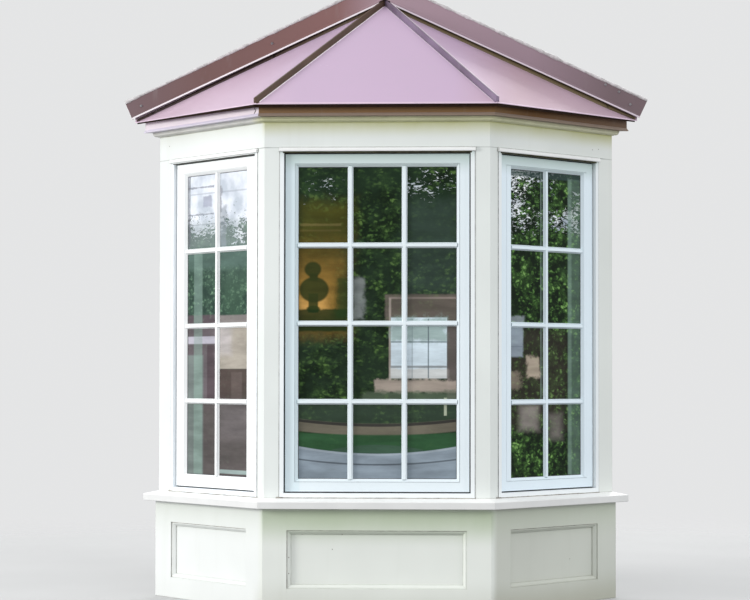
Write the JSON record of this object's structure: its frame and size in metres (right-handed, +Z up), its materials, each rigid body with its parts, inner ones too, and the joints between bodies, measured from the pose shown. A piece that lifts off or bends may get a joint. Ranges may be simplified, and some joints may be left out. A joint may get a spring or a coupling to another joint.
{
  "type": "angled bay window with metal roof",
  "caption": "Angled bay window with panelled base, projecting sill, divided-light windows and a three-sided metal roof that meets the wall",
  "frame": {"origin": "On the ground, under the middle of the whole outline", "axes": "+Z up, +X to the right seen from the street, +Y into the house; the front faces -Y"},
  "size_m": [2.1836, 0.574, 2.5722],
  "materials": {
    "painted_timber": "satin exterior paint",
    "raw_timber": "sawn softwood and plywood",
    "inner_board": "painted board",
    "frame_vinyl": "white extruded frame",
    "sash_vinyl": "white extruded sash",
    "window_glass": "clear sealed glazing unit",
    "roof_metal": "metallic coated sheet",
    "trim_metal": "bronze coated sheet",
    "flashing_metal": "bronze coated sheet"
  },
  "bodies": {
    "root": {"base_corner_board_left": "painted_timber", "base_corner_board_right": "painted_timber", "base_panel_front": "painted_timber", "base_panel_left": "painted_timber", "base_panel_right": "painted_timber", "base_rails_front": "painted_timber", "base_rails_left": "painted_timber", "base_rails_right": "painted_timber", "base_wall_board_left": "painted_timber", "base_wall_board_right": "painted_timber", "bottom_board": "raw_timber", "corner_post_left": "painted_timber", "corner_post_right": "painted_timber", "cornice": "painted_timber", "drip_fascia_front": "trim_metal", "drip_fascia_left": "trim_metal", "drip_fascia_right": "trim_metal", "frieze_front": "painted_timber", "frieze_left": "painted_timber", "frieze_right": "painted_timber", "glass_front": "window_glass", "glass_left": "window_glass", "glass_right": "window_glass", "head_board": "inner_board", "hip_rib_left": "trim_metal", "hip_rib_right": "trim_metal", "roof_deck": "raw_timber", "roof_header": "raw_timber", "roof_pan_front": "roof_metal", "roof_pan_left": "roof_metal", "roof_pan_right": "roof_metal", "sash_front": "sash_vinyl", "sash_left": "sash_vinyl", "sash_right": "sash_vinyl", "seat_board": "inner_board", "sill_front": "painted_timber", "sill_left": "painted_timber", "sill_right": "painted_timber", "wall_flashing_left": "flashing_metal", "wall_flashing_right": "flashing_metal", "wall_post_left": "painted_timber", "wall_post_right": "painted_timber", "window_frame_front": "frame_vinyl", "window_frame_left": "frame_vinyl", "window_frame_right": "frame_vinyl"}
  },
  "joints": []
}
